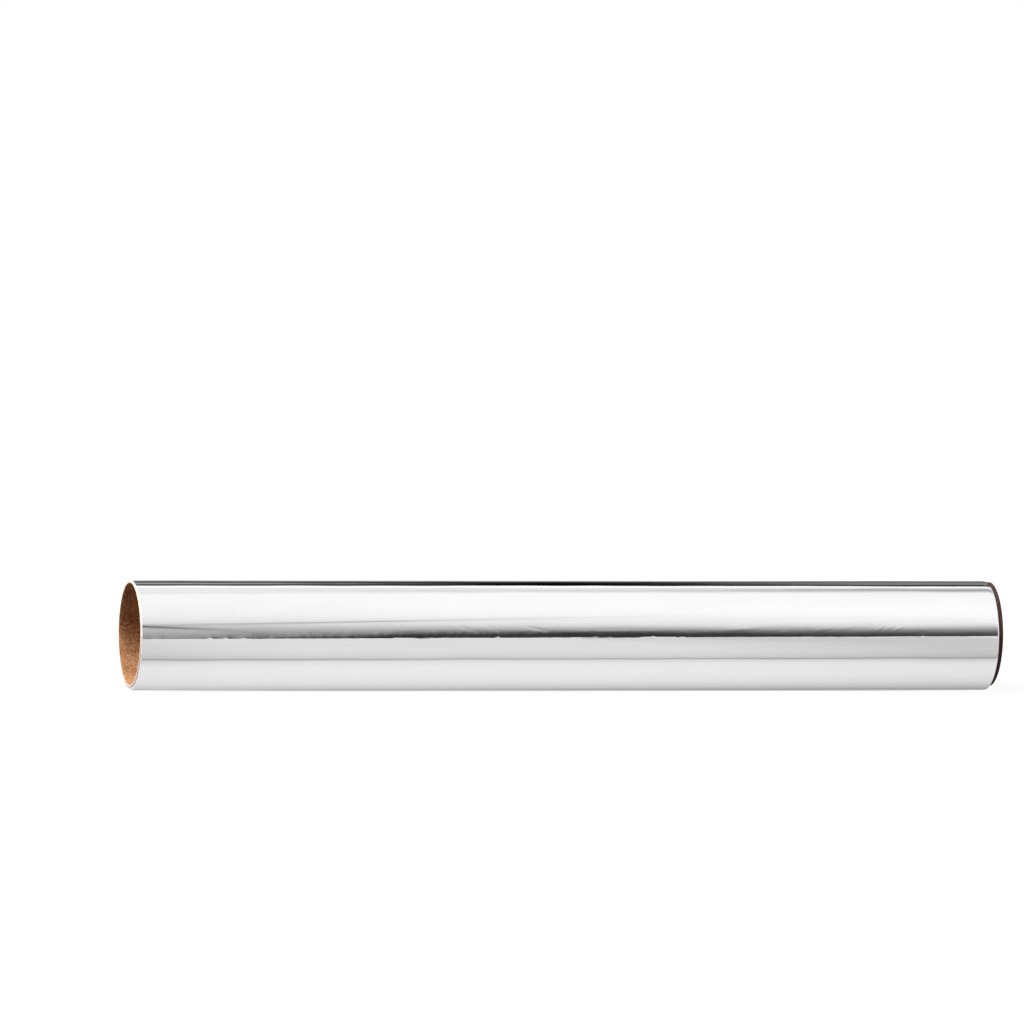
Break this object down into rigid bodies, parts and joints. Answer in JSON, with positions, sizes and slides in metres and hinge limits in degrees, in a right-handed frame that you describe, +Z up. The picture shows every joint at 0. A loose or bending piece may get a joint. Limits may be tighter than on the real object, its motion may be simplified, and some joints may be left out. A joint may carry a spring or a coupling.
{
  "type": "aluminium foil roll",
  "caption": "Roll of household aluminium foil on an open board core that stands out a little at both ends, lying on its side with the free edge of the foil at the front.",
  "frame": {"origin": "on the surface that the roll lies on, under the middle of the core's length and under its axis", "axes": "+X along the roll's axis, towards the end where the core stands out more; +Z up; -Y to the front, where the free edge of the foil shows"},
  "size_m": [0.3, 0.0373, 0.0369],
  "materials": {
    "aluminium_foil": "bright",
    "core_board": "matte"
  },
  "bodies": {
    "root": {"wound_foil": "aluminium_foil", "core_tube": "core_board"}
  },
  "joints": []
}
